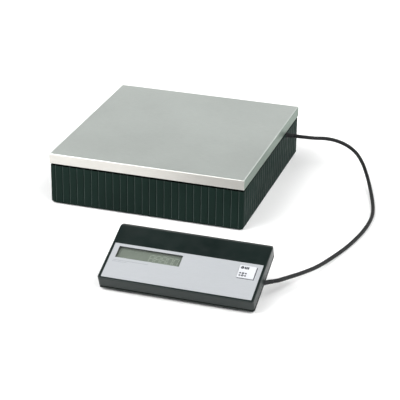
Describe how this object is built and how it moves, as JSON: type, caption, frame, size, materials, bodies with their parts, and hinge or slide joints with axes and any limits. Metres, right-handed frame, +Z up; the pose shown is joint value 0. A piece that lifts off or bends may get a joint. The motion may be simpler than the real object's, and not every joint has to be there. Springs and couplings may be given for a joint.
{
  "type": "platform shipping scale",
  "caption": "Parcel scale: folded steel weighing pan on a ribbed base with a load cell, and a tilted desk display unit with an LCD and key, joined by a cable.",
  "frame": {"origin": "on the table, in the middle of the rectangle that the platform and the display unit take up", "axes": "+X to the user's right along the pan's front edge, +Y to the rear, +Z up"},
  "size_m": [0.4979, 0.579, 0.0856],
  "materials": {
    "steel_pan": "satin brushed stainless sheet",
    "ribbed_plastic": "moulded green-black plastic with narrow vertical grooves",
    "case_plastic": "finely textured green-black plastic",
    "cast_aluminium": "as cast",
    "cell_aluminium": "milled and clear anodised",
    "zinc_steel": "bright zinc plated",
    "rubber": "matt black rubber",
    "cable_jacket": "satin black cable jacket",
    "silver_panel": "satin silver printed film",
    "key_face": "light silver-grey moulded cap",
    "clear_lens": "clear polished lens",
    "lcd_green": "reflective green-grey liquid crystal display",
    "board_green": "green solder mask",
    "battery_jacket": "plain dark battery wrap"
  },
  "bodies": {
    "base": {"base_shell": "ribbed_plastic", "base_foot_1": "rubber", "base_foot_2": "rubber", "base_foot_3": "rubber", "base_foot_4": "rubber", "base_frame": "zinc_steel", "frame_screw_1": "zinc_steel", "frame_screw_2": "zinc_steel", "frame_screw_3": "zinc_steel", "frame_screw_4": "zinc_steel", "load_cell": "cell_aluminium", "cell_spacer_lower": "zinc_steel", "cell_bolt_fixed_1": "zinc_steel", "cell_bolt_fixed_2": "zinc_steel", "overload_stop_screw": "zinc_steel", "overload_stop_nut": "zinc_steel", "base_cable_gland": "rubber", "load_cell_lead": "cable_jacket", "lead_clip": "case_plastic", "main_cable": "cable_jacket"},
    "carrier": {"pan_carrier": "cast_aluminium", "pan_pad_1": "rubber", "pan_pad_2": "rubber", "pan_pad_3": "rubber", "pan_pad_4": "rubber", "cell_spacer_upper": "zinc_steel", "cell_bolt_live_1": "zinc_steel", "cell_bolt_live_2": "zinc_steel"},
    "pan": {"weighing_pan": "steel_pan"},
    "display": {"display_top_shell": "case_plastic", "display_bottom_shell": "case_plastic", "case_screw_1": "zinc_steel", "case_screw_2": "zinc_steel", "case_screw_3": "zinc_steel", "case_screw_4": "zinc_steel", "display_foot_front_left": "rubber", "display_foot_front_right": "rubber", "display_foot_rear_left": "rubber", "display_foot_rear_right": "rubber", "front_panel": "silver_panel", "lcd_window": "clear_lens", "lcd_module": "lcd_green", "lcd_connector_strip": "rubber", "display_circuit_board": "board_green", "key_switch": "case_plastic", "battery_1": "battery_jacket", "battery_2": "battery_jacket", "battery_3": "battery_jacket", "battery_4": "battery_jacket", "battery_spring_1": "zinc_steel", "battery_spring_2": "zinc_steel", "battery_plate_1": "zinc_steel", "battery_plate_2": "zinc_steel", "display_cable_boot": "rubber", "display_lead": "cable_jacket"},
    "key": {"tare_key": "key_face"},
    "door": {"battery_door": "case_plastic"}
  },
  "joints": [
    {"name": "platform_flex", "type": "slide", "parent": "base", "child": "carrier", "axis": [0, 0, 1], "range_m": [-0.0005, 0], "stiffness_N_per_m": 150000, "springref_m": 0.0001, "deforming": ["load_cell"]},
    {"name": "pan_lift", "type": "slide", "parent": "carrier", "child": "pan", "axis": [0, 0, 1], "range_m": [0, 0.06]},
    {"name": "display_reach", "type": "slide", "parent": "base", "child": "display", "axis": [0, 1, 0], "range_m": [-0.08, 0.06], "deforming": ["main_cable"]},
    {"name": "tare_key_press", "type": "slide", "parent": "display", "child": "key", "axis": [0, 0.3665, -0.9304], "range_m": [0, 0.0006], "stiffness_N_per_m": 600},
    {"name": "battery_door_slide", "type": "slide", "parent": "display", "child": "door", "axis": [0, 1, 0], "range_m": [0, 0.045]}
  ]
}
